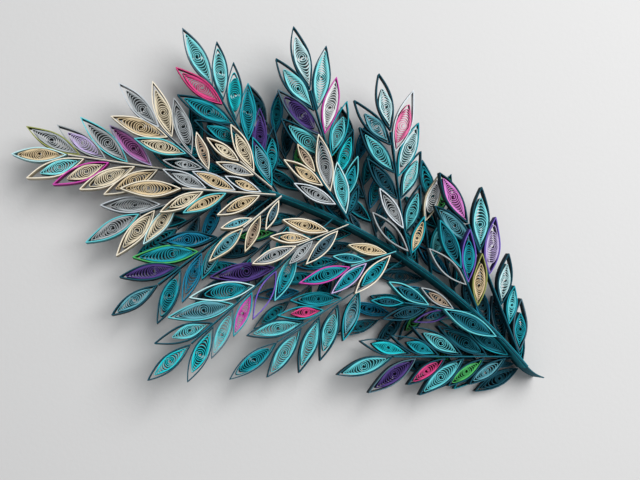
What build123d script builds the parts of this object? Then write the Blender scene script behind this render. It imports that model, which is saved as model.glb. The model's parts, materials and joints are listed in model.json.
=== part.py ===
from build123d import *
import os
from math import atan, cos, degrees, hypot, radians, sin, tan

os.makedirs("parts", exist_ok=True)

# A frond of quilled paper leaves that lies flat: rows of marquise coils stand on edge along
# thin ribs, and the ribs spring from one curved stem in four layers. The origin is the underside
# of the stem at its butt, +X and +Y lie in the table, and +Z is up through the paper's edges.

# Paper
strip_width = 6.0        # every leaf and rib is one strip high
frame_wall = 0.5         # outer wall of a leaf, a few turns of strip
coil_gap = 0.3           # between that wall and the coil within it
coil_recess = 0.5        # the coil lies this much below the rim of its frame
rib_thickness = 0.8
leaf_gap = 0.2           # between a leaf and the rib that it is glued to
leaf_spacing = 0.05      # least room between two leaves of a fan
layer_gap = 0.1          # between one layer of fans and the next

# Leaves: the full leaf sets the size, and the other grades are shares of its length
full_leaf = 30.0
slenderness = 0.27       # width over length
pitches_per_leaf = 4     # ribs and stem are measured in pitches, so many to a full leaf
LONG, FULL, MID, SHORT, SMALL, BUD = 1.1, 1.0, 0.9, 0.8, 0.68, 0.57
knee_at, knee_share = 0.2, 0.6   # where the marquise bends, along its length and across it

# Stem: plies of strip on edge, three strips high, bent to one arc. Its middle ply runs on as a tail
ply_thickness = 0.56
ply_gap = 0.06
plies = 3
stem_layers = 3
stem_heading = 129.5     # direction of the stem at its butt, anticlockwise from +X
stem_sweep = 43.3        # how far it turns to the left on the way to the crown
tail_radius = 16.0
tail_sweep = 35.0
perch = 1.5              # fans on top of the stem start this far beside its middle

# Under fans: leaves of one grade to the two sides of the rib in turn, and one at its end
under_grade = SHORT
under_first, under_step, under_end = 0.6, 0.85, 0.9   # along the rib, in pitches
under_turn = 32

pitch = full_leaf / pitches_per_leaf
crown_station = 27.7     # the stem's length, in pitches
stem_radius = crown_station * pitch / radians(stem_sweep)
stem_height = stem_layers * (strip_width + layer_gap) - layer_gap
stem_half = (plies * ply_thickness + (plies - 1) * ply_gap) / 2
stem_centre = (-stem_radius * sin(radians(stem_heading)), stem_radius * cos(radians(stem_heading)))

LEFT, RIGHT, AHEAD = 1, -1, 0

# Each fan: station along the stem in pitches, side, heading, layer, lift in degrees, and its
# rib's length in pitches. Each of its leaves: station along the rib, turn to the left of the
# rib, and grade. A leaf as far out as the rib is long points on from the rib's end.
sprays = {
    "crown": [
        (27.7, AHEAD, 173, 1.7, 6, 6.7, [
            (6.7, 8, MID), (5.9, -20, FULL), (4.2, -27, FULL), (2.8, -36, LONG), (1.2, -36, FULL),
            (5.6, 28, FULL), (4.0, 31, FULL), (2.3, 32, FULL), (0.8, 34, FULL)]),
    ],
    "crown_upper": [
        (25.2, RIGHT, 139, 3, 6, 4.2, [
            (4.2, -6, FULL), (3.4, 22, FULL), (1.8, 26, MID), (0.4, 31, SMALL),
            (3.2, -29, FULL), (1.5, -31, FULL), (0.0, -30, SMALL)]),
    ],
    "crown_lower": [
        (23.7, LEFT, 200, 2, 4, 6.2, [
            (6.2, 10, FULL), (4.7, -18, FULL), (5.2, 32, FULL), (3.7, 33, MID)]),
    ],
    "saddle": [
        (20.5, LEFT, 177, 3, 3, 6.1, [
            (6.1, 4, FULL), (4.5, -20, SHORT), (2.6, -20, SHORT), (0.9, -20, SMALL),
            (4.7, 30, SHORT), (3.2, 29, SHORT), (1.0, 29, SHORT)]),
        (20.9, RIGHT, 141, 3, 3, 2.7, [
            (2.7, 4, SMALL), (1.4, 21, SMALL), (1.5, -24, MID), (0.0, -29, MID)]),
        (20.1, LEFT, 221, 3, 6, 3.3, [
            (3.3, 5, SHORT), (2.4, -22, BUD), (1.9, 27, SMALL), (0.3, 26, BUD)]),
    ],
    "upper_far": [
        (20.5, RIGHT, 122, 1, 9, 8.3, [
            (8.3, -3, LONG), (7.2, -25, FULL), (5.6, -29, FULL), (4.0, -31, FULL), (2.5, -31, MID),
            (1.1, -34, MID), (7.0, 21, FULL), (5.4, 32, LONG), (3.8, 34, FULL)]),
    ],
    "upper_middle": [
        (15.3, RIGHT, 107, 1, 9, 9.3, [
            (9.3, -1, LONG), (7.9, 21, LONG), (6.1, 28, LONG), (4.4, 33, LONG), (7.9, -24, LONG),
            (6.2, -28, FULL), (4.6, -32, FULL), (3.1, -34, MID), (1.6, -34, SHORT), (0.5, -35, BUD)]),
        (15.5, RIGHT, 125, 3, 3, 3.7, [
            (3.7, -2, BUD), (2.7, 22, SHORT), (1.2, 29, SHORT), (2.1, -23, FULL), (0.3, -25, MID)]),
    ],
    "upper_near": [
        (10.8, RIGHT, 98, 1, 9, 8.5, [
            (8.5, 5, FULL), (7.6, 33, FULL), (5.7, 31, FULL), (3.9, 30, MID), (7.1, -24, LONG),
            (5.4, -28, FULL), (3.9, -30, MID), (1.5, -24, MID)]),
        (10.7, RIGHT, 105, 3, 3, 1.8, [
            (1.8, 16, SHORT), (0.3, 28, MID), (0.1, -34, SMALL)]),
        (8.7, RIGHT, 97, 1, 3, 3.6, [
            (3.6, -25, MID), (0.9, -26, MID)]),
    ],
    "upper_inner": [
        (5.3, RIGHT, 113, 2.5, 9, 2.7, [
            (2.7, 2, MID), (1.6, 24, MID), (1.7, -24, MID), (0.0, -27, MID)]),
    ],
    "upper_butt": [
        (0.7, RIGHT, 112, 1, 6, 9.6, [
            (9.6, 8, FULL), (8.0, 24, FULL), (7.6, -23, LONG), (5.9, -28, FULL), (3.7, -30, MID),
            (2.3, -30, SMALL), (0.4, -24, MID)]),
    ],
    "lower_far": [
        (20.8, LEFT, 219, 1, 6, 9.5, [
            (9.5, -4, MID), (7.7, -28, FULL), (6.1, -33, LONG), (4.5, -33, FULL),
            (7.7, 29, FULL), (6.0, 31, MID), (4.3, 27, SHORT)]),
    ],
    "lower_middle": [
        (16.4, LEFT, 222, 2, 6, 12.3, [
            (12.3, -1, MID), (10.4, -22, FULL), (8.6, -30, LONG), (6.8, -31, LONG), (5.0, -33, LONG),
            (10.5, 24, FULL), (8.8, 25, MID), (7.2, 26, SHORT), (5.1, 23, MID), (3.3, 24, MID)]),
    ],
    "lower_near": [
        (10.9, LEFT, 213, 1, 6, 10.0, [
            (10.0, 5, FULL), (7.8, -20, FULL), (6.3, -26, SHORT), (4.8, -30, MID),
            (8.2, 22, FULL), (6.8, 37, FULL), (5.3, 39, FULL), (3.6, 39, MID)]),
    ],
    "pale_middle": [
        (15.3, LEFT, 203, 3, 6, 3.7, [
            (3.7, 0, SHORT), (2.7, -25, SMALL), (1.4, -36, SHORT), (2.6, 22, BUD), (0.8, 24, SHORT)]),
    ],
    "pale_near": [
        (11.7, LEFT, 199, 3, 6, 3.2, [
            (3.2, -1, MID), (2.1, -25, BUD), (0.6, -30, SMALL), (2.1, 22, SHORT), (0.4, 28, MID)]),
    ],
    "lower_inner": [
        (5.2, LEFT, 172, 2, 6, 4.6, [
            (4.6, 4, BUD), (2.9, -21, SHORT), (1.2, -24, SMALL), (1.4, 24, SMALL), (3.0, 22, SHORT)]),
    ],
    "lower_butt": [
        (2.7, LEFT, 157, 3, 3, 0.3, [
            (0.3, -4, FULL)]),
        (1.1, LEFT, 180, 1, 6, 8.1, [
            (8.1, 17, FULL), (6.9, -14, MID), (5.0, -22, MID), (3.4, -29, FULL), (1.7, -30, FULL),
            (0.2, -32, MID), (6.6, 35, FULL), (4.6, 34, SHORT), (3.3, 38, FULL), (1.9, 36, SHORT),
            (0.4, 34, SHORT)]),
    ],
}

# Frames left empty, by fan and leaf in the order above
open_frames = [("upper_near", 1, 1), ("upper_inner", 0, 1), ("lower_middle", 0, 8)]

# Under fans lie flat on the table beneath the others: station, side, heading, side leaves
under_fans = {
    "under_upper": [
        (22.9, RIGHT, 137, 5), (18.0, RIGHT, 117, 7), (12.9, RIGHT, 105, 7), (6.4, RIGHT, 103, 7),
    ],
    "under_lower": [
        (23.2, LEFT, 214, 5), (18.4, LEFT, 221, 7), (13.6, LEFT, 218, 7), (6.9, LEFT, 199, 5),
        (0.8, LEFT, 184, 5),
    ],
}


def stem_at(station):
    """Point on the stem's middle line and its direction there, in degrees."""
    heading = stem_heading + degrees(station * pitch / stem_radius)
    spoke = radians(heading - 90)
    return (
        stem_centre[0] + stem_radius * cos(spoke),
        stem_centre[1] + stem_radius * sin(spoke),
        heading,
    )


def fan_plane(station, side, heading, layer, lift):
    """Plane under a fan: its x runs out along the rib, which rises by the lift."""
    x, y, along = stem_at(station)
    # The lifted strip leans back by this much at its top edge
    lean = strip_width * sin(radians(lift))
    if side == AHEAD:
        out, reach = radians(along), leaf_gap + ply_gap + lean
    else:
        out = radians(along + 90 * side)
        reach = perch if layer >= stem_layers else stem_half + rib_thickness / 2 + lean
    turn, up = radians(heading), radians(lift)
    return Plane(
        origin=(x + reach * cos(out), y + reach * sin(out), layer * (strip_width + layer_gap)),
        x_dir=(cos(up) * cos(turn), cos(up) * sin(turn), sin(up)),
        z_dir=(-sin(up) * cos(turn), -sin(up) * sin(turn), cos(up)),
    )


def marquise(length, inset=0.0):
    """Outline of a pinched leaf from its base tip, drawn in by the inset all round."""
    half = length * slenderness / 2
    flank = atan(half * knee_share / (length * knee_at))
    crest = atan(half * (1 - knee_share) / (length * (0.5 - knee_at)))
    tip = inset / sin(flank)
    belly = half - inset / cos(crest)
    knee_x = (belly - tan(crest) * length / 2 + tan(flank) * tip) / (tan(flank) - tan(crest))
    knee_y = tan(flank) * (knee_x - tip)
    upper = [(tip, 0), (knee_x, knee_y), (length / 2, belly), (length - knee_x, knee_y)]
    return upper + [(length - x, -y) for x, y in upper]


def coil(length):
    """The coil's outline: the frame's hollow less the gap, with a straight crown."""
    tip, knee, belly = marquise(length, frame_wall + coil_gap)[:3]
    shoulder = ((knee[0] + belly[0]) / 2, (knee[1] + belly[1]) / 2)
    upper = [tip, shoulder, (length - shoulder[0], shoulder[1])]
    return upper + [(length - x, -y) for x, y in upper]


def laid(place, turn, length):
    """Corners of a leaf in its fan's plane, once its base tip is in place."""
    lean = radians(turn)
    return [
        (place[0] + x * cos(lean) - y * sin(lean), place[1] + x * sin(lean) + y * cos(lean))
        for x, y in marquise(length)
    ]


def slide(inner, outer):
    """How far the outer leaf has to move out along the rib to clear the inner one."""
    moves = []
    for shape, outwards in ((inner, 1), (outer, -1)):
        for (x0, y0), (x1, y1) in zip(shape, shape[1:] + shape[:1]):
            across, along = outwards * (y0 - y1), outwards * (x1 - x0)
            # Only an edge that faces along the rib can part the two leaves
            if across > 0:
                reach = max(x * across + y * along for x, y in inner)
                start = min(x * across + y * along for x, y in outer)
                moves.append((leaf_spacing * hypot(across, along) + reach - start) / across)
    return max(0, min(moves))


def settle(rib, leaves):
    """The rib's length, and each leaf's base point, turn and length in the fan's plane. A leaf
    touches the rib but for the gap, and slides out along it until it clears those before it."""
    end, beside, places = rib * pitch, {LEFT: [], RIGHT: []}, {}
    for station, turn, grade in sorted(leaves):
        length = full_leaf * grade
        if station < rib:
            side = LEFT if turn > 0 else RIGHT
            lowest = min(side * y for x, y in laid((0, 0), turn, length))
            x, y = station * pitch, side * (rib_thickness / 2 + leaf_gap - min(0, lowest))
            x += max([slide(leaf, laid((x, y), turn, length)) for leaf in beside[side]], default=0)
            beside[side].append(laid((x, y), turn, length))
            end = max(end, x)
        else:
            x, y = end + leaf_gap, 0
            sides = beside[LEFT] + beside[RIGHT]
            x += max([slide(leaf, laid((x, y), turn, length)) for leaf in sides], default=0)
            end = x - leaf_gap
        places[station, turn] = ((x, y), turn, length)
    return end, [places[station, turn] for station, turn, grade in leaves]


def under_leaves(count):
    """Rib and leaves of an under fan, in the same terms as the fans above."""
    leaves = [
        (under_first + under_step * leaf, under_turn * (-1) ** (leaf + 1), under_grade)
        for leaf in range(count)
    ]
    rib = leaves[-1][0] + under_end
    return rib, leaves + [(rib, 0, under_grade)]


def rib_strips(fans):
    """One strip on edge for each fan, from the stem to its last leaf."""
    with BuildPart() as ribs:
        for plane, end, leaves in fans:
            with BuildSketch(plane):
                Rectangle(end, rib_thickness, align=(Align.MIN, Align.CENTER))
            extrude(amount=strip_width)
    return ribs.part


for spray, fans in sprays.items():
    fans = [(fan_plane(*root), *settle(rib, leaves)) for *root, rib, leaves in fans]
    ribs = rib_strips(fans)
    ribs.label = spray + "_ribs"
    export_step(ribs, f"parts/{spray}_ribs.step")

    with BuildPart() as frames:
        for plane, end, leaves in fans:
            with BuildSketch(plane):
                for place, turn, length in leaves:
                    with Locations(place):
                        Polygon(*marquise(length), rotation=turn, align=None)
                        Polygon(
                            *marquise(length, frame_wall), rotation=turn, align=None, mode=Mode.SUBTRACT
                        )
            extrude(amount=strip_width)
    frames.part.label = spray + "_frames"
    export_step(frames.part, f"parts/{spray}_frames.step")

    with BuildPart() as coils:
        for fan, (plane, end, leaves) in enumerate(fans):
            with BuildSketch(plane):
                for leaf, (place, turn, length) in enumerate(leaves):
                    if (spray, fan, leaf) in open_frames:
                        continue
                    with Locations(place):
                        Polygon(*coil(length), rotation=turn, align=None)
            extrude(amount=strip_width - coil_recess)
    coils.part.label = spray + "_coils"
    export_step(coils.part, f"parts/{spray}_coils.step")

# An under leaf is one closed solid, its frame and coil together
for spray, fans in under_fans.items():
    fans = [(fan_plane(*root, 0, 0), *settle(*under_leaves(count))) for *root, count in fans]
    ribs = rib_strips(fans)
    ribs.label = spray + "_ribs"
    export_step(ribs, f"parts/{spray}_ribs.step")

    with BuildPart() as leaves_below:
        for plane, end, leaves in fans:
            with BuildSketch(plane):
                for place, turn, length in leaves:
                    with Locations(place):
                        Polygon(*marquise(length), rotation=turn, align=None)
            extrude(amount=strip_width)
    leaves_below.part.label = spray + "_leaves"
    export_step(leaves_below.part, f"parts/{spray}_leaves.step")

# Stem plies from the inside of the bend outwards
for ply in range(plies):
    shift = (ply - (plies - 1) / 2) * (ply_thickness + ply_gap)
    with BuildPart() as stem_ply:
        with BuildSketch():
            with BuildLine():
                bend = CenterArc(stem_centre, stem_radius + shift, stem_heading - 90, stem_sweep)
                if ply == plies // 2:
                    JernArc(bend @ 0, bend % 0 * -1, tail_radius, tail_sweep)
            trace(line_width=ply_thickness)
        extrude(amount=stem_height)
    stem_ply.part.label = f"stem_ply_{ply + 1}"
    export_step(stem_ply.part, f"parts/stem_ply_{ply + 1}.step")
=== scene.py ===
import bpy
import json
import numpy as np
from mathutils import Matrix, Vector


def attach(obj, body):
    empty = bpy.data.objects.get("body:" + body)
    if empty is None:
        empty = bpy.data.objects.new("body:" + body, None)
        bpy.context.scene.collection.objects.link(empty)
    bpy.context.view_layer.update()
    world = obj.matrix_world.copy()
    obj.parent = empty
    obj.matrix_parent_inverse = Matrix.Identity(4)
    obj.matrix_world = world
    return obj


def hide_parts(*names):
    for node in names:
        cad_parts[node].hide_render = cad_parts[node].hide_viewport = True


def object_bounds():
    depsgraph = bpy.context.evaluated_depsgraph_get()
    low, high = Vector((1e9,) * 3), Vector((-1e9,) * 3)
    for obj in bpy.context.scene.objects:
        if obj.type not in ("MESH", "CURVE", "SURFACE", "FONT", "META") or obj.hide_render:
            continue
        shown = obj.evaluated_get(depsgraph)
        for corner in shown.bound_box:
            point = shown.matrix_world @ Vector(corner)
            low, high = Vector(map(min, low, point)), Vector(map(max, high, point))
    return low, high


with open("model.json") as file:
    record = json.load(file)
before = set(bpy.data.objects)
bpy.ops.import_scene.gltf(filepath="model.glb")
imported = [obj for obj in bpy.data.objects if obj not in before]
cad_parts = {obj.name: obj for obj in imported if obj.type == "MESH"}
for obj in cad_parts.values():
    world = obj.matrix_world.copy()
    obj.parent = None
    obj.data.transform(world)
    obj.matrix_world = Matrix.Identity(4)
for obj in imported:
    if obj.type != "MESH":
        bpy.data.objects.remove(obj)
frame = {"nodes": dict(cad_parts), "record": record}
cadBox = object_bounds()
mm = 0.001
dice = np.random.default_rng(7)

# What a leaf is made of, as "frame/coil". One name alone gives both the same paper, and a frame
# with nothing after the stroke is empty. Leaves are named from the stem outwards, on the left and
# the right of their rib, and a spray's fans from the longest rib to the shortest.
leafPapers = {
    "crown": [
        dict(end="paleAqua/tan", left=["cream/tan", "cream/sand", "magenta/sand", "cream/aqua"],
             right=["lilac/orchid", "lightTeal/grey", "grey/lilac", "olive/grey"])],
    "crown_upper": [
        dict(end="silver/grey", left=["grey", "lightTeal/sand", "cream/tan"],
             right=["cream/taupe", "grey", "cream/sand"])],
    "crown_lower": [
        dict(end="lightTeal/grey", left=["paleAqua/sand", "cream/sand"], right=["silver/grey"])],
    "saddle": [
        dict(end="cream/tan", left=["cream/tan", "lightTeal/tan", "cream/sand"],
             right=["silver/tan", "silver/tan", "silver/grey"]),
        dict(end="sand/greyTeal", left=["cream/slate", "sand/taupe"], right=["cream/greyTeal"]),
        dict(end="cream/sand", left=["cream/grey"], right=["teal/greyTeal", "cream/sand"])],
    "upper_far": [
        dict(end="slate/aqua", left=["darkTeal/teal", "darkTeal/teal", "hotPink"],
             right=["darkTeal/teal", "purple", "teal", "darkTeal/turquoise", "darkTeal/aqua"])],
    "upper_middle": [
        dict(end="darkTeal/paleAqua", left=["darkTeal/lightTeal", "slate/purple", "darkTeal/aqua"],
             right=["darkTeal/deepTeal", "lightTeal/teal", "darkTeal/turquoise", "teal/lightTeal",
                    "magenta/white", "darkTeal/aqua"]),
        dict(end="sand/taupe", left=["silver/grey", "cream/tan"],
             right=["paleAqua/lightTeal", "cream/grey"])],
    "upper_near": [
        dict(end="darkTeal/paleAqua", left=["darkTeal", "darkTeal/lightTeal", "darkTeal/greyTeal"],
             right=["darkTeal/lightTeal", "darkTeal/aqua", "teal/paleAqua", "silver/pink"]),
        dict(end="sand/white", left=[], right=["teal/lightTeal"]),
        dict(end="silver/grey", left=["grey/"], right=["teal/tan"])],
    "upper_inner": [
        dict(end="teal/deepTeal", left=["grey/"], right=["olive/tan", "violet/teal"])],
    "upper_butt": [
        dict(end="darkTeal/orchid", left=["darkTeal/greyTeal"],
             right=["slate/teal", "teal/lightTeal", "darkTeal/paleAqua", "violet/lilac", "darkTeal/aqua"])],
    "lower_far": [
        dict(end="darkTeal/greyTeal", left=["teal/greyTeal", "blueTeal", "darkTeal/teal"],
             right=["darkTeal/blueTeal", "green/teal", "darkTeal/purple"])],
    "lower_middle": [
        dict(end="darkTeal/turquoise",
             left=["lightTeal/teal", "violet/", "teal/magenta", "slate/lightTeal", "darkTeal/turquoise"],
             right=["purple", "paleAqua/teal", "lightTeal/greyTeal", "darkTeal/lightTeal"])],
    "lower_near": [
        dict(end="darkTeal/teal",
             left=["teal/greyTeal", "darkTeal/lightTeal", "darkTeal/lightTeal", "darkTeal/lightTeal"],
             right=["teal", "teal/hotPink", "darkTeal/lightTeal"])],
    "pale_middle": [
        dict(end="cream/grey", left=["cream/slate", "grey"], right=["cream/tan", "cream/tan"])],
    "pale_near": [
        dict(end="magenta/teal", left=["cream/teal", "lilac/teal"],
             right=["sand/tan", "lightTeal/deepTeal"])],
    "lower_inner": [
        dict(end="teal/darkTeal", left=["purple/darkTeal", "darkTeal"],
             right=["grey/taupe", "lightTeal/deepTeal"])],
    "lower_butt": [
        dict(end="darkTeal/lightTeal",
             left=["darkTeal/greyTeal", "darkTeal/green", "darkTeal/lightTeal", "darkTeal/hotPink",
                   "slate/purple"],
             right=["teal/deepTeal", "darkTeal/deepTeal", "darkTeal/lightTeal", "darkTeal/teal",
                    "darkTeal/turquoise"]),
        dict(end="lightTeal/deepTeal", left=[], right=[])],
}
# The leaves of the under fans are darker, and take every third of these papers in turn
underStride = 3
underPapers = ["darkTeal/teal", "blueTeal", "darkTeal", "teal/darkTeal", "slate/darkTeal", "blueTeal/teal",
               "darkTeal/deepTeal", "teal/deepTeal", "deepTeal/teal", "darkTeal/green"]

paperHex = {
    "cream": "#E6D7BC", "sand": "#D4C4A4", "tan": "#C8AE86", "taupe": "#8E7C6A", "olive": "#7C8348",
    "grey": "#8E9598", "silver": "#A6AFB6", "slate": "#3C5662", "white": "#E2EEF0",
    "teal": "#0E8292", "darkTeal": "#083C4A", "deepTeal": "#0C5868", "blueTeal": "#0A6888",
    "greyTeal": "#4C8A98", "lightTeal": "#50B2BC", "turquoise": "#12ACB8", "aqua": "#6CCCD4",
    "paleAqua": "#A8D8DE", "purple": "#3C2C66", "violet": "#5C48A0", "lilac": "#A898C8",
    "orchid": "#CC72C0", "magenta": "#B43C94", "pink": "#E0608E", "hotPink": "#C4386E",
    "green": "#3C9A50",
}


# An sRGB byte is brought to 0..1, and then to linear light by the sRGB curve
def linearColour(hexText):
    c = np.array([int(hexText[k:k + 2], 16) for k in (1, 3, 5)]) / 255
    c = np.where(c <= 0.04045, c / 12.92, ((c + 0.055) / 1.055) ** 2.4)
    return (*c.tolist(), 1.0)


# A setting that the node itself has goes there, any other goes to the input of that name, and links
# feed its inputs
def addNode(tree, kind, links=None, **settings):
    node = tree.nodes.new(kind)
    for key, value in settings.items():
        if hasattr(node, key):
            setattr(node, key, value)
        else:
            node.inputs[key.replace("_", " ")].default_value = value
    for socket, source in (links or {}).items():
        tree.links.new(source, node.inputs[socket])
    return node


# Quilling strip: uncoated wood-free paper of about 120 g, dyed through and slit. It is dead matt,
# its fibres show as fine streaks, and the slit edge is paler than the face in its own hue, partly its own
# paler cut and partly a painted highlight where light strikes the top edge.
paperLook = dict(fibreMm=0.35, fibreDark=0.74, fibrePale=1.2, fibreLift=0.002,
                 blotchMm=9.0, blotchDark=0.85,
                 roughness=0.82, specular=0.3, bump=0.25, reliefMm=0.05,
                 # the slit edge's lift is partly its own paler cut and partly a painted highlight
                 edgeLift=0.8, edgeStart=1.001,                # the slit edge, and the v where it starts
                 # painted shade: a strip's face is darkened towards its foot, standing in for the shade
                 # between close turns
                 stain=0.1, stainTop=0.3,                      # a face's shade at its foot, and up to which v
                 silverMetal=0.35, silverRoughness=0.42)


# Striped paper reads the UV map of a strip, and plain paper goes on a piece that has none
def quillingPaper(colour, striped):
    look = paperLook
    mat = bpy.data.materials.new(("quillingStrip_" if striped else "quillingPaper_") + colour)
    mat.use_nodes = True
    tree = mat.node_tree
    tree.nodes.clear()
    place = addNode(tree, "ShaderNodeTexCoord")
    fibre = addNode(tree, "ShaderNodeTexNoise", {"Vector": place.outputs["Object"]},
                    Scale=1 / (look["fibreMm"] * mm), Detail=3.0, Roughness=0.6)
    blotch = addNode(tree, "ShaderNodeTexNoise", {"Vector": place.outputs["Object"]},
                     Scale=1 / (look["blotchMm"] * mm), Detail=2.0)
    base = np.array(linearColour(paperHex[colour]))[:3]
    tone = addNode(tree, "ShaderNodeMix", {"Factor": fibre.outputs["Fac"]}, data_type="RGBA")
    tone.inputs["A"].default_value = (*(base * look["fibreDark"]), 1)
    tone.inputs["B"].default_value = (*np.minimum(base * look["fibrePale"] + look["fibreLift"], 1), 1)
    cloud = addNode(tree, "ShaderNodeMix", {"Factor": blotch.outputs["Fac"], "A": tone.outputs["Result"]},
                    data_type="RGBA")
    cloud.inputs["B"].default_value = (*(base * look["blotchDark"]), 1)
    finish = cloud.outputs["Result"]
    if striped:
        # v runs up the strip's face to 1, and towards its foot the face is darkened by painted shade,
        # standing in for the shade deep between the turns of a coil. A v over 1 marks the slit edge.
        strip = addNode(tree, "ShaderNodeUVMap", uv_map="strip")
        across = addNode(tree, "ShaderNodeSeparateXYZ", {"Vector": strip.outputs["UV"]})
        foot = addNode(tree, "ShaderNodeMapRange", {"Value": across.outputs["Y"]})
        foot.inputs["From Min"].default_value = look["stainTop"]
        foot.inputs["To Min"].default_value = look["stain"]
        face = addNode(tree, "ShaderNodeVectorMath", {0: finish, "Scale": foot.outputs["Result"]},
                       operation="SCALE")
        cut = addNode(tree, "ShaderNodeMath", {0: across.outputs["Y"]}, operation="GREATER_THAN")
        cut.inputs[1].default_value = look["edgeStart"]
        edge = addNode(tree, "ShaderNodeMix", {"Factor": cut.outputs[0], "A": face.outputs["Vector"]},
                       data_type="RGBA")
        # painted highlight: the slit edge is lightened, partly its own paler cut and partly light striking
        # the top edge
        edge.inputs["B"].default_value = (*(1 - (1 - base) ** (1 + look["edgeLift"])), 1)
        finish = edge.outputs["Result"]
    relief = addNode(tree, "ShaderNodeBump", {"Height": fibre.outputs["Fac"]},
                     Strength=look["bump"], Distance=look["reliefMm"] * mm)
    shader = addNode(tree, "ShaderNodeBsdfPrincipled",
                     {"Base Color": finish, "Normal": relief.outputs["Normal"]},
                     Roughness=look["roughness"])
    shader.inputs["Specular IOR Level"].default_value = look["specular"]
    if colour == "silver":      # strip with a metallised edge glints along the rim
        shader.inputs["Metallic"].default_value = look["silverMetal"]
        shader.inputs["Roughness"].default_value = look["silverRoughness"]
    addNode(tree, "ShaderNodeOutputMaterial", {"Surface": shader.outputs["BSDF"]})
    return mat


# One material serves all strips of a colour
papers = {}


def paper(colour, striped=True):
    if (colour, striped) not in papers:
        papers[colour, striped] = quillingPaper(colour, striped)
    return papers[colour, striped]


# A strip on edge is a path in the leaf's plane, thickened along its normal by half its thickness
# each way and raised from low to high. Four rows of vertices run along it, one to a corner. The
# UV map's v starts at foot, so that a strip with nothing close beside it gets less painted shade at
# its foot, and lies over 1 on the slit edges.
edgeV = (1.01, 1.02)


def raiseStrip(path, thickness, low, high, foot=0.55):
    n = len(path)
    run = np.vstack([path[1:], path[-1:]]) - np.vstack([path[:1], path[:-1]])
    run /= np.maximum(np.linalg.norm(run, axis=1, keepdims=True), 1e-12)
    side = np.stack([run[:, 1], -run[:, 0]], axis=1) * thickness / 2
    low, high = np.broadcast_to(low, n), np.broadcast_to(high, n)
    corners = np.stack([
        np.column_stack([path + side, low]), np.column_stack([path + side, high]),
        np.column_stack([path - side, high]), np.column_stack([path - side, low])], axis=1)
    here = np.arange(n - 1)
    length = np.concatenate([[0], np.cumsum(np.linalg.norm(path[1:] - path[:-1], axis=1))])
    quads, uvs = [], []
    for k in range(4):
        a, b = k, (k + 1) % 4
        quads.append(np.stack([here * 4 + a, here * 4 + 4 + a, here * 4 + 4 + b, here * 4 + b], axis=1))
        va, vb = ((foot, 1), edgeV, (1, foot), edgeV)[k]
        u0, u1 = length[:-1], length[1:]
        uvs.append(np.stack([np.column_stack([u0, u0 * 0 + va]), np.column_stack([u1, u1 * 0 + va]),
                             np.column_stack([u1, u1 * 0 + vb]), np.column_stack([u0, u0 * 0 + vb])], axis=1))
    for ends in ([0, 1, 2, 3], [4 * n - 1, 4 * n - 2, 4 * n - 3, 4 * n - 4]):
        quads.append(np.array([ends]))
        uvs.append(np.full((1, 4, 2), (0.0, edgeV[0])))
    return corners.reshape(-1, 3), np.concatenate(quads), np.concatenate(uvs)


# Parts are (corners, quads, uvs, material slot). Each part's indices are raised by the corners
# before it, and the result is one mesh that rides on the frond in place of its nodes.
creaseDegrees = 50


def makePiece(name, parts, colours, nodes, slot):
    firsts = np.cumsum([0] + [len(part[0]) for part in parts[:-1]])
    corners = np.concatenate([part[0] for part in parts])
    quads = np.concatenate([part[1] + first for part, first in zip(parts, firsts)])
    uvs = np.concatenate([part[2] for part in parts])
    slots = np.concatenate([np.full(len(part[1]), part[3]) for part in parts])
    mesh = bpy.data.meshes.new(name)
    mesh.vertices.add(len(corners))
    mesh.vertices.foreach_set("co", corners.astype(np.float32).ravel())
    mesh.loops.add(quads.size)
    mesh.loops.foreach_set("vertex_index", quads.astype(np.int32).ravel())
    mesh.polygons.add(len(quads))
    mesh.polygons.foreach_set("loop_start", np.arange(len(quads), dtype=np.int32) * 4)
    mesh.polygons.foreach_set("material_index", slots.astype(np.int32))
    mesh.update(calc_edges=True)
    layer = mesh.uv_layers.new(name="strip")
    layer.data.foreach_set("uv", uvs.astype(np.float32).ravel())
    for colour in colours:
        mesh.materials.append(paper(colour))
    mesh.shade_smooth()
    mesh.set_sharp_from_angle(angle=np.radians(creaseDegrees))
    mesh.validate()
    piece = bpy.data.objects.new(name, mesh)
    bpy.context.scene.collection.objects.link(piece)
    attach(piece, "root")
    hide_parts(*nodes)


# Where the leaves are: each loose solid of a node is one leaf or one rib. Corners that share a
# triangle take the lowest label among them until nothing changes. Corners within a micron are one.
micronsInMetre = 1e6


def looseSolids(node):
    mesh = frame["nodes"][node].data
    spots = np.empty(len(mesh.vertices) * 3)
    mesh.vertices.foreach_get("co", spots)
    tris = np.empty(len(mesh.loops), int)
    mesh.loops.foreach_get("vertex_index", tris)
    spots, where = np.unique(np.round(spots.reshape(-1, 3) * micronsInMetre).astype(int), axis=0,
                             return_inverse=True)
    tris = where.ravel()[tris].reshape(-1, 3)
    label = np.arange(len(spots))
    while True:
        lowest = np.repeat(label[tris].min(axis=1), 3)
        spread = label.copy()
        np.minimum.at(spread, tris.ravel(), lowest)
        if (spread == label).all():
            break
        label = spread
    return [spots[label == k] * (1 / micronsInMetre) for k in np.unique(label)]


# A solid's axes are the main directions of its corners' spread. The one nearest to upright is its
# height, and of the other two the wider spread is its length. Its middle is half way along each.
def measure(points):
    axes = np.linalg.eigh(np.cov((points - points.mean(axis=0)).T))[1].T
    up = max(axes, key=lambda a: abs(a[2]))
    up = up * np.sign(up[2])
    along = max([a for a in axes if abs(a @ up) < 0.5], key=lambda a: np.ptp(points @ a))
    turn = np.stack([along, np.cross(up, along), up])
    local = points @ turn.T
    low, high = local.min(axis=0), local.max(axis=0)
    return turn.T @ ((low + high) / 2), turn, high - low


stemSpots = np.array([v.co for v in frame["nodes"]["stem_ply_2"].data.vertices])


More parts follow.
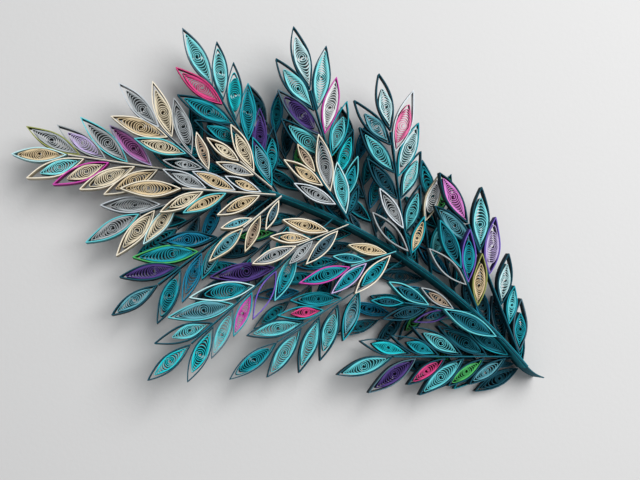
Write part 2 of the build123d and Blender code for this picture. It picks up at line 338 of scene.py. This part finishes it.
# A spray's ribs, the longest first. A rib's root is its end nearer to the stem, and each leaf
# belongs to the rib that its base tip is nearest to, on the left, the right or beyond its end.
def readFans(ribNode, leafNode):
    fans = []
    for points in looseSolids(ribNode):
        middle, axes, size = measure(points)
        root = middle - axes[0] * size[0] / 2
        tip = middle + axes[0] * size[0] / 2
        if np.linalg.norm(stemSpots - root, axis=1).min() > np.linalg.norm(stemSpots - tip, axis=1).min():
            root, tip = tip, root
            axes = axes * np.array([[-1], [-1], [1]])
        fans.append(dict(root=root, axes=axes, size=size, left=[], right=[], end=[]))
    fans.sort(key=lambda f: -f["size"][0])
    for points in looseSolids(leafNode):
        middle, axes, size = measure(points)
        best = None
        for turn in (1, -1):
            base = middle - turn * axes[0] * size[0] / 2
            for fan in fans:
                local = fan["axes"] @ (base - fan["root"])
                along = np.clip(local[0], 0, fan["size"][0])
                gap = np.linalg.norm(local - np.array([along, 0, 0]))
                if best is None or gap < best[0]:
                    best = (gap, turn, fan, local, base)
        gap, turn, fan, local, base = best
        leaf = dict(base=base - axes[2] * size[2] / 2, axes=axes * np.array([[turn], [turn], [1]]), size=size,
                    station=local[0])
        where = "end" if local[0] > fan["size"][0] else "left" if local[1] > 0 else "right"
        fan[where].append(leaf)
    for fan in fans:
        for where in ("left", "right"):
            fan[where].sort(key=lambda leaf: leaf["station"])
    return fans


# Leaf: a frame wound twice and pinched at both ends, and inside it a coil. Round its eye the coil
# is a few open rings. Past them its turns lie close along the frame's walls and cross the leaf as
# blunt vanes, a pitch apart, and the last turn runs to the tips and is pinched there.
leafShape = dict(frameTurns=2, framePly=0.26, plyGap=0.03, fuller=1.05, pinch=0.95,
                 frameTaper=1.4, tipRoom=0.2,                  # how the frame's turns draw in at its tips
                 sway=0.018, belly=(-0.09, 0.02),              # shares of the half length
                 rimWander=0.12, rimWave=0.06, rimWaves=1.5,   # the rim's height, by leaf and round a turn
                 fullLength=30, coilPly=0.27, coilGap=0.03, tipTaper=2.6,
                 eyeRadius=0.7, eyeShare=0.35, eyeShift=0.16,
                 coreShare=(0.78, 0.9), coreTurns=2.4,         # the rings round the eye
                 vanes=(4.6, 7.2), vanePitch=(1.05, 1.45), vaneReach=0.82, plainVanes=0.7,
                 bluntness=4.0, lean=0.35,
                 slant=(0.1, 0.2), eyeSlant=0.22,              # moved along and across for each mm down
                 faceRoom=0.14, leastRoom=0.02,                # what leaning faces keep off the frame
                 shorter=8.0, shorterBack=3,                   # a short coil sits back by a third of this
                 coilFoot=0.1, coilDrop=(0.1, 0.8), coilDish=0.35)
fineSteps = dict(frame=36, coil=30)
plainSteps = dict(frame=22, coil=18)


# The wall's half width is the cosine of a quarter turn times the share of the way to the tip, to the
# power of the pinch, so that it comes to a point at both ends
def wallWidth(x, halfLong, halfWide):
    share = np.clip(x / halfLong, -1, 1)
    return halfWide * np.cos(np.pi / 2 * share) ** leafShape["pinch"]


# The leaf's own bend: its outer half sways by a squared sine, and its widest point is moved along
# it by a parabola that is nought at the tips. Then it takes its place in the frond.
def toLeaf(flat, leaf, bend):
    halfLong = leaf["size"][0] / 2
    share = np.clip(flat[:, 0] / halfLong, -1, 1)
    bent = flat.copy()
    bent[:, 0] += halfLong * (1 + bend[1] * (1 - share ** 2))
    bent[:, 1] += bend[0] * halfLong * np.sin(np.pi * np.maximum(share, 0)) ** 2
    return leaf["base"] + bent @ leaf["axes"]


# The frame winds inwards by a ply and its gap each turn, and by more at the tips. Its place along
# the leaf is the cosine of its angle, and its place across is the wall's half width there.
def leafFrame(leaf, bend, steps):
    shape = leafShape
    ply, step = shape["framePly"] * mm, (shape["framePly"] + shape["plyGap"]) * mm
    angle = np.linspace(0, 2 * np.pi * shape["frameTurns"], steps["frame"] * shape["frameTurns"] + 1)
    inward = ply / 2 + step * angle / (2 * np.pi)
    halfLong = leaf["size"][0] / 2 - shape["tipRoom"] * mm - inward * shape["frameTaper"]
    x = -halfLong * np.cos(angle)
    y = np.sign(np.sin(angle)) * wallWidth(x, halfLong, leaf["size"][1] / 2 * shape["fuller"] - inward)
    path = np.column_stack([x, y])
    rim = dice.uniform(-1, 1) * shape["rimWander"] * mm
    phase = dice.uniform(0, 6)
    rim = rim + shape["rimWave"] * mm * np.sin(angle * shape["rimWaves"] + phase)
    corners, quads, uvs = raiseStrip(path, ply, 0.0, leaf["size"][2] + rim)
    return toLeaf(corners, leaf, bend), quads, uvs


# The coil counts its turns from the eye outwards. A turn's half length grows with its half width
# as far as the rings go, then by a pitch a turn, and over the last turn it goes on to the tip. Its
# half width is the wall's, less the turns outside it, times a cap: the root of one less the share
# of its half length to a power. Power two is a circle and a higher one is blunt. On the last turn
# the cap fades, which leaves the wall's own point.
def leafCoil(leaf, bend, steps):
    shape = leafShape
    inward = (shape["framePly"] / 2 + (shape["framePly"] + shape["plyGap"]) * shape["frameTurns"]) * mm
    innerLong = leaf["size"][0] / 2 - shape["tipRoom"] * mm - inward * shape["frameTaper"]
    innerWide = leaf["size"][1] / 2 * shape["fuller"] - inward
    wall = (shape["framePly"] / 2 + shape["coilGap"] + shape["coilPly"] / 2) * mm
    share = leaf["size"][0] / (shape["fullLength"] * mm)
    shorter = shape["shorter"] * dice.uniform(0, 1) ** 2 * share * mm
    tipX = innerLong - wall * shape["tipTaper"] - shorter / 2
    halfWide = innerWide - wall
    eye = min(shape["eyeRadius"] * mm, shape["eyeShare"] * halfWide)
    core, pitch = halfWide * dice.uniform(*shape["coreShare"]), dice.uniform(*shape["vanePitch"]) * mm
    vanes = min(dice.uniform(*shape["vanes"]) * share, shape["vaneReach"] * (tipX - core) / pitch)
    if steps is plainSteps:
        vanes, pitch = vanes * shape["plainVanes"], pitch / shape["plainVanes"]
    turns = shape["coreTurns"] + vanes + 1
    angle = np.linspace(0, 2 * np.pi * turns, int(turns * steps["coil"]))
    fromEye = turns - angle / (2 * np.pi)
    inCore = np.minimum(fromEye / shape["coreTurns"], 1)
    past = np.clip(fromEye - shape["coreTurns"], 0, vanes)
    last = np.clip(fromEye - shape["coreTurns"] - vanes, 0, 1)
    ring = eye + (core - eye) * inCore
    across = ring + (halfWide - core) * (past + last) / (vanes + 1)
    longest = core + pitch * vanes
    along = ring + pitch * past + (tipX - longest) * last
    power = 2 + (shape["bluntness"] - 2) * np.minimum(past / 2, 1)
    cap = (1 - np.abs(np.cos(angle)) ** power) ** ((1 - last) / 2)
    x = -along * np.cos(angle)
    lean = dice.uniform(-1, 1) * shape["lean"] * np.minimum(past / 2, 1) * (1 - last)
    side = np.sign(np.sin(angle)) * cap
    x = x + lean * side * across
    x = x + dice.uniform(-1, 1) * shape["eyeShift"] * tipX * (1 - along / tipX)
    path = np.column_stack([x, side * np.maximum(wallWidth(x, tipX, halfWide) - halfWide + across, 0)])
    top = leaf["size"][2] - dice.uniform(*shape["coilDrop"]) * mm
    dish = shape["coilDish"] * mm * (1 - fromEye / turns)
    # the coil's v starts at nought, so its faces take the full painted shade at their foot
    corners, quads, uvs = raiseStrip(path, shape["coilPly"] * mm, shape["coilFoot"] * mm, top - dish, 0.0)
    # The vanes lean along the leaf, so that their faces and not the floor show between them. The
    # lean fades to the tips, and what moves to where the frame is narrower is narrowed as it is.
    # The rings lean across the leaf too, and the eye leans most.
    depth = top - corners[:, 2]
    lowered = dice.choice([-1, 1]) * dice.uniform(*shape["slant"]) * depth
    lowered = lowered * (1 - np.clip(corners[:, 0] / tipX, -1, 1) ** 2)
    moved = corners[:, 0] + lowered - shorter / shape["shorterBack"]
    widths = (wallWidth(x, innerLong, innerWide) - shape["faceRoom"] * mm for x in (corners[:, 0], moved))
    before, after = (np.maximum(width, shape["leastRoom"] * mm) for width in widths)
    corners[:, 1] *= np.minimum(after / before, 1)
    corners[:, 0] = moved
    corners[:, 1] += dice.choice([-1, 1]) * shape["eyeSlant"] * depth * np.repeat(1 - across / halfWide, 4)
    return toLeaf(corners, leaf, bend), quads, uvs


# Rib: two strips glued face to face, the second a touch lower
ribShape = dict(ply=0.3, fromMiddle=0.155, drop=0.35, steps=16)
ribPapers = {"crown": ("cream", "grey"), "crown_upper": ("grey", "slate"), "crown_lower": ("grey", "slate"),
             "saddle": ("cream", "grey"), "pale_middle": ("cream", "slate"),
             "pale_near": ("lightTeal", "slate")}


# Each strip is a straight path from the root, moved sideways from the rib's middle line
def ribStrips(fan):
    length, height = fan["size"][[0, 2]]
    x = np.linspace(0, length, ribShape["steps"])
    base = fan["root"] - fan["axes"][2] * height / 2
    parts = []
    for k, y in enumerate((-ribShape["fromMiddle"], ribShape["fromMiddle"])):
        path = np.column_stack([x, np.full_like(x, y * mm)])
        corners, quads, uvs = raiseStrip(path, ribShape["ply"] * mm, 0.0, height - k * ribShape["drop"] * mm)
        parts.append((base + corners @ fan["axes"], quads, uvs, k))
    return parts


slotOf = {part["node"]: part["material_slot"] for part in frame["record"]["subparts"]}


# A set of strips of many papers: each part is added with its paper's place in the list of papers
def addLeaf(parts, colours, colour, strip):
    if colour not in colours:
        colours.append(colour)
    parts.append((*strip, colours.index(colour)))


# The text names both papers, and the frame and the coil share one bend
def dressLeaf(leaf, text, steps, frames, coils):
    frameName, _, coilName = text.partition("/")
    if "/" not in text:
        coilName = frameName
    bend = (dice.uniform(-1, 1) * leafShape["sway"], dice.uniform(*leafShape["belly"]))
    addLeaf(*frames, frameName, leafFrame(leaf, bend, steps))
    if coilName:
        addLeaf(*coils, coilName, leafCoil(leaf, bend, steps))


for spray, fanPapers in leafPapers.items():
    frames, coils, ribs = ([], []), ([], []), []
    for fan, names in zip(readFans(spray + "_ribs", spray + "_frames"), fanPapers):
        ribs += ribStrips(fan)
        for where in ("end", "left", "right"):
            wanted = [names["end"]] if where == "end" else names[where]
            if len(fan[where]) != len(wanted):
                print("papers don't match:", spray, where, len(fan[where]), "leaves,", len(wanted), "papers")
            for leaf, text in zip(fan[where], wanted):
                dressLeaf(leaf, text, fineSteps, frames, coils)
    for kind, parts, colours in (("ribs", ribs, ribPapers.get(spray, ("deepTeal", "darkTeal"))),
                                 ("frames", *frames), ("coils", *coils)):
        node = spray + "_" + kind
        makePiece(node + "_paper", parts, colours, [node], slotOf[node])
    print("spray", spray, "leaves", len(frames[0]), "coils", len(coils[0]))

for spray in ("under_upper", "under_lower"):
    frames, coils, ribs, count = ([], []), ([], []), [], 0
    for fan in readFans(spray + "_ribs", spray + "_leaves"):
        ribs += ribStrips(fan)
        for leaf in fan["end"] + fan["left"] + fan["right"]:
            dressLeaf(leaf, underPapers[count * underStride % len(underPapers)], plainSteps, frames, coils)
            count += 1
    makePiece(spray + "_ribs_paper", ribs, ("darkTeal", "slate"), [spray + "_ribs"], slotOf[spray + "_ribs"])
    makePiece(spray + "_frames_paper", *frames, [spray + "_leaves"], slotOf[spray + "_leaves"])
    makePiece(spray + "_coils_paper", *coils, [spray + "_leaves"], slotOf[spray + "_leaves"])
    print("spray", spray, "leaves", count)


# Stem: an outer ply is two strips on edge, the outermost lower
stemShape = dict(ply=0.24, steps=72, drops=(0.5, 1.1))


# A circle through the ply's corners solves x squared plus y squared as twice the centre times the
# point, plus a constant
def stemArc(node):
    points = np.array([v.co for v in frame["nodes"][node].data.vertices])
    flat = points[:, :2]
    terms = np.column_stack([2 * flat, np.ones(len(flat))])
    fit = np.linalg.lstsq(terms, (flat ** 2).sum(axis=1), rcond=None)[0]
    spoke = flat - fit[:2]
    radius, angle = np.linalg.norm(spoke, axis=1), np.arctan2(spoke[:, 1], spoke[:, 0])
    return dict(middle=fit[:2], inner=radius.min(), outer=radius.max(), start=angle.min(), stop=angle.max(),
                height=points[:, 2].max())


# Each strip is an arc about the stem's centre, half a strip inside one face of the CAD ply
def stemStrips(node, outwards):
    arc = stemArc(node)
    sweep = np.linspace(arc["start"], arc["stop"], stemShape["steps"])
    half = stemShape["ply"] * mm / 2 * (1 if outwards else -1)
    nearSide, farSide = (arc["inner"], arc["outer"]) if outwards else (arc["outer"], arc["inner"])
    parts = []
    for k, radius in enumerate((nearSide + half, farSide - half)):
        path = arc["middle"] + radius * np.column_stack([np.cos(sweep), np.sin(sweep)])
        parts.append((*raiseStrip(path, abs(half) * 2, 0.0, arc["height"] - stemShape["drops"][k] * mm), k))
    return parts


for ply, outwards, colours in (("stem_ply_1", False, ("deepTeal", "teal")),
                               ("stem_ply_3", True, ("darkTeal", "teal"))):
    makePiece(ply + "_paper", stemStrips(ply, outwards), colours, [ply], slotOf[ply])
middlePly = frame["nodes"]["stem_ply_2"]
middlePly.data.materials.clear()
middlePly.data.materials.append(paper("deepTeal", striped=False))
print("stem done")

# Foot leaves: small dark leaves on the floor, glued to the stem between the fans. Each length is
# tried in turn along both sides of the stem, and a leaf stays where it clears all that is as low.
footShape = dict(cell=0.5, finer=0.6, margin=100,              # the plan's cells, and those round it
                 room=0.5, height=5.4, every=1.5, fromStem=0.5, wide=0.27,
                 headings=(30, 42, 54, 66, 78, 90), lengths=(26, 23, 20, 17, 14, 12))
footPapers = ["darkTeal", "darkTeal/teal", "slate/darkTeal", "teal/darkTeal", "blueTeal/darkTeal"]


# The plan cells under a leaf, a lens as long and wide as it, or under a rib, a rectangle: points on
# a fine grid in its own plane are brought into the plan and counted off in cells.
def planCells(leaf, lens, room):
    halfLong, halfWide = leaf["size"][0] / 2 + room, leaf["size"][1] / 2 + room
    step = footShape["cell"] * mm * footShape["finer"]
    x, y = np.meshgrid(np.arange(-halfLong, halfLong, step), np.arange(-halfWide, halfWide, step))
    inside = np.abs(y) < (wallWidth(x, halfLong, halfWide) if lens else halfWide)
    spots = leaf["middle"][:2] + np.column_stack([x[inside], y[inside]]) @ leaf["axes"][:2, :2]
    place = (spots - np.array(cadBox[0])[:2]) / (footShape["cell"] * mm) + footShape["margin"]
    return place[:, 0].astype(int), place[:, 1].astype(int)


# Cells that hold a low leaf or rib are taken. A leaf heads off the stem's tangent by each heading in
# turn, from beside the stem's face, and its own cells are taken once it stands.
def footLeaves():
    shape = footShape
    reach = (np.array(cadBox[1]) - np.array(cadBox[0]))[:2] / (shape["cell"] * mm)
    taken = np.zeros((reach + 2 * shape["margin"]).astype(int), bool)
    for node in frame["nodes"]:
        if not node.startswith("stem") and not node.endswith("coils"):
            for points in looseSolids(node):
                if points[:, 2].min() < (shape["height"] + shape["room"]) * mm:
                    middle, axes, size = measure(points)
                    solid = dict(middle=middle, axes=axes, size=size)
                    taken[planCells(solid, not node.endswith("ribs"), shape["room"] * mm)] = True
    arcs = [stemArc(f"stem_ply_{k}") for k in (1, 3)]
    centre, inner, outer = arcs[0]["middle"], min(a["inner"] for a in arcs), max(a["outer"] for a in arcs)
    start, stop = min(a["start"] for a in arcs), max(a["stop"] for a in arcs)
    leaves = []
    for length in shape["lengths"]:
        size = np.array([length, length * shape["wide"], shape["height"]]) * mm
        for angle in np.arange(start, stop, shape["every"] * mm / outer):
            spoke = np.array([np.cos(angle), np.sin(angle)])
            tangent = np.arctan2(spoke[0], -spoke[1])
            for side, radius in ((1, inner - shape["fromStem"] * mm), (-1, outer + shape["fromStem"] * mm)):
                for heading in shape["headings"]:
                    turn = tangent + side * np.radians(heading)
                    axes = np.array([[np.cos(turn), np.sin(turn), 0],
                                     [-np.sin(turn), np.cos(turn), 0], [0, 0, 1]])
                    base = np.append(centre + spoke * radius, 0)
                    leaf = dict(base=base, middle=base + axes[0] * size[0] / 2, axes=axes, size=size)
                    if not taken[planCells(leaf, True, 0)].any():
                        taken[planCells(leaf, True, shape["room"] * mm)] = True
                        leaves.append(leaf)
                        break
    return leaves


frames, coils = ([], []), ([], [])
for count, leaf in enumerate(footLeaves()):
    dressLeaf(leaf, footPapers[count % len(footPapers)], plainSteps, frames, coils)
for kind, pieces in (("frames", frames), ("coils", coils)):
    makePiece("foot_" + kind + "_paper", *pieces, [], "under_leaf")
print("foot leaves", len(frames[0]))

# Floor: a smooth pale card. Its fine grain only takes the shine off its surface.
floor = dict(size=12.0, hex="#DADADA", grainMm=2.5, bump=0.15, reliefMm=0.5, roughness=0.9)
mesh = bpy.data.meshes.new("floor")
half = floor["size"] / 2
mesh.from_pydata([(-half, -half, 0), (half, -half, 0), (half, half, 0), (-half, half, 0)], [], [(0, 1, 2, 3)])
plate = bpy.data.objects.new("floor", mesh)
bpy.context.scene.collection.objects.link(plate)
card = bpy.data.materials.new("paleCard")
card.use_nodes = True
cardTree = card.node_tree
cardTree.nodes.clear()
cardPlace = addNode(cardTree, "ShaderNodeTexCoord")
cardGrain = addNode(cardTree, "ShaderNodeTexNoise", {"Vector": cardPlace.outputs["Object"]},
                    Scale=1 / (floor["grainMm"] * mm), Detail=4.0)
cardRelief = addNode(cardTree, "ShaderNodeBump", {"Height": cardGrain.outputs["Fac"]},
                     Strength=floor["bump"], Distance=floor["reliefMm"] * mm)
cardShader = addNode(cardTree, "ShaderNodeBsdfPrincipled", {"Normal": cardRelief.outputs["Normal"]},
                     Roughness=floor["roughness"])
cardShader.inputs["Base Color"].default_value = linearColour(floor["hex"])
addNode(cardTree, "ShaderNodeOutputMaterial", {"Surface": cardShader.outputs["BSDF"]})
mesh.materials.append(card)
print("floor done")

# The camera stands almost straight above. The scene's upright lines run to the vanishing pixel,
# which gives the tilt, and the middle of the frame looks at a point on the frond.
view = dict(lens=50.0, sensor=36.0, imageWide=640, imageHigh=480, vanishX=275, vanishY=339,
            distance=444.5, lookAt=(-103.0, 63.0, 16.1), near=10, far=20000)
focal = view["lens"] / view["sensor"] * view["imageWide"]
upLine = np.array([view["imageWide"] / 2 - view["vanishX"], view["vanishY"] - view["imageHigh"] / 2, focal])
upLine /= np.linalg.norm(upLine)
rightLine = np.array([1, 0, 0]) - upLine[0] * upLine
rightLine /= np.linalg.norm(rightLine)
turn = np.stack([rightLine, np.cross(upLine, rightLine), upLine])
eye = np.array(view["lookAt"]) + turn[:, 2] * view["distance"]
optics = bpy.data.cameras.new("camera")
optics.lens, optics.sensor_width = view["lens"], view["sensor"]
optics.clip_start, optics.clip_end = view["near"] * mm, view["far"] * mm
camera = bpy.data.objects.new("camera", optics)
camera.matrix_world = Matrix.Translation(eye * mm) @ Matrix(turn.tolist()).to_4x4()
bpy.context.scene.collection.objects.link(camera)
bpy.context.scene.camera = camera
print("camera done")


# Light: a broad window and a weak fill in a pale room. Each is a disk that faces its target, and
# its third axis points from the target to the light.
def softLight(name, spot, target, size, watts, hexText):
    light = bpy.data.lights.new(name, "AREA")
    light.shape, light.size, light.energy = "DISK", size, watts
    light.color = linearColour(hexText)[:3]
    lamp = bpy.data.objects.new(name, light)
    away = np.array(spot) - np.array(target)
    away = away / np.linalg.norm(away)
    side = np.cross([0, 1, 0], away)
    side /= np.linalg.norm(side)
    facing = Matrix(np.stack([side, np.cross(away, side), away]).T.tolist())
    lamp.matrix_world = Matrix.Translation(spot) @ facing.to_4x4()
    bpy.context.scene.collection.objects.link(lamp)


studio = dict(target=(-0.12, 0.08, 0.0), roomHex="#E4E6E8", roomStrength=0.39,
              window=dict(spot=(0.42, 0.45, 1.0), size=1.0, watts=14.0, hexText="#FFFEFD"),
              fill=dict(spot=(-0.5, 0.0, 1.2), size=1.2, watts=0.4, hexText="#F2F6FF"))
for name in ("window", "fill"):
    softLight(name, target=studio["target"], **studio[name])
world = bpy.data.worlds.new("room")
world.use_nodes = True
background = world.node_tree.nodes["Background"]
background.inputs["Color"].default_value = linearColour(studio["roomHex"])
background.inputs["Strength"].default_value = studio["roomStrength"]
bpy.context.scene.world = world
bpy.context.scene.view_settings.view_transform = "Standard"
print("light done")
